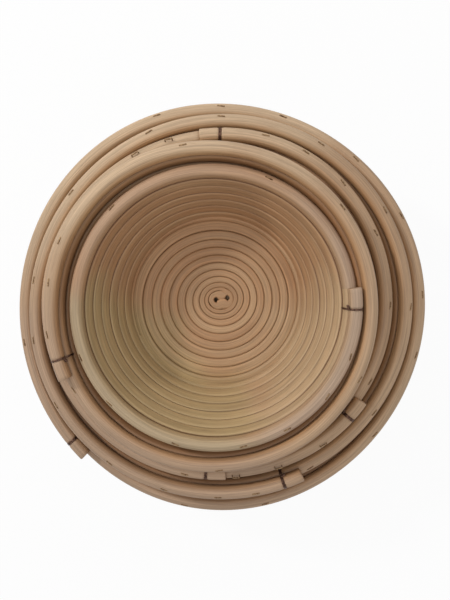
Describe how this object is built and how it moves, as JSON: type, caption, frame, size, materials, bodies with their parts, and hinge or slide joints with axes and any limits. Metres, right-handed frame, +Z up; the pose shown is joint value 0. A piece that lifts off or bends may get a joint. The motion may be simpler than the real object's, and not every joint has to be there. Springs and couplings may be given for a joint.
{
  "type": "nest of bread proofing baskets",
  "caption": "Nest of round bread proofing baskets of coiled cane, with wire-tied rim ends and stapled rims, standing one inside the other.",
  "frame": {"origin": "middle of the outermost basket's underside, on the surface it stands on", "axes": "+Z up out of the baskets' mouths, +X to the right and +Y towards the top of the picture"},
  "size_m": [0.2889, 0.2877, 0.1145],
  "materials": {
    "cane": "satin",
    "pale_cane": "satin",
    "tie_wire": "satin",
    "staple_steel": "satin"
  },
  "bodies": {
    "basket_1": {"basket_1_floor_coil": "cane", "basket_1_rim_cane": "cane", "basket_1_staple_1": "staple_steel", "basket_1_staple_2": "staple_steel", "basket_1_staple_3": "staple_steel", "basket_1_staple_4": "staple_steel", "basket_1_staple_5": "staple_steel", "basket_1_staple_6": "staple_steel", "basket_1_staple_7": "staple_steel", "basket_1_tie_wire": "tie_wire", "basket_1_wall_coil": "cane"},
    "basket_2": {"basket_2_floor_coil": "cane", "basket_2_rim_cane": "cane", "basket_2_staple_1": "staple_steel", "basket_2_staple_2": "staple_steel", "basket_2_staple_3": "staple_steel", "basket_2_staple_4": "staple_steel", "basket_2_staple_5": "staple_steel", "basket_2_staple_6": "staple_steel", "basket_2_staple_7": "staple_steel", "basket_2_tie_wire": "tie_wire", "basket_2_wall_coil": "cane"},
    "basket_3": {"basket_3_floor_coil": "cane", "basket_3_rim_cane_1": "cane", "basket_3_rim_cane_2": "cane", "basket_3_rim_cane_3": "cane", "basket_3_staple_1": "staple_steel", "basket_3_staple_2": "staple_steel", "basket_3_staple_3": "staple_steel", "basket_3_staple_4": "staple_steel", "basket_3_staple_5": "staple_steel", "basket_3_staple_6": "staple_steel", "basket_3_staple_7": "staple_steel", "basket_3_tie_wire_1": "tie_wire", "basket_3_tie_wire_2": "tie_wire", "basket_3_tie_wire_3": "tie_wire", "basket_3_wall_coil": "cane"},
    "basket_4": {"basket_4_floor_coil": "cane", "basket_4_rim_cane": "cane", "basket_4_staple_1": "staple_steel", "basket_4_staple_2": "staple_steel", "basket_4_staple_3": "staple_steel", "basket_4_staple_4": "staple_steel", "basket_4_staple_5": "staple_steel", "basket_4_staple_6": "staple_steel", "basket_4_staple_7": "staple_steel", "basket_4_tie_wire": "tie_wire", "basket_4_wall_coil": "cane"},
    "basket_5": {"basket_5_floor_coil": "pale_cane", "basket_5_rim_cane": "pale_cane", "basket_5_staple_1": "staple_steel", "basket_5_staple_2": "staple_steel", "basket_5_staple_3": "staple_steel", "basket_5_staple_4": "staple_steel", "basket_5_staple_5": "staple_steel", "basket_5_staple_6": "staple_steel", "basket_5_staple_7": "staple_steel", "basket_5_tie_wire": "tie_wire", "basket_5_wall_coil": "pale_cane"}
  },
  "joints": [
    {"name": "basket_2_lift", "type": "slide", "parent": "basket_1", "child": "basket_2", "axis": [0, 0, 1], "range_m": [0, 0.09]},
    {"name": "basket_3_lift", "type": "slide", "parent": "basket_2", "child": "basket_3", "axis": [0, 0, 1], "range_m": [0, 0.09]},
    {"name": "basket_4_lift", "type": "slide", "parent": "basket_3", "child": "basket_4", "axis": [0, 0, 1], "range_m": [0, 0.09]},
    {"name": "basket_5_lift", "type": "slide", "parent": "basket_4", "child": "basket_5", "axis": [0, 0, 1], "range_m": [0, 0.09]}
  ]
}
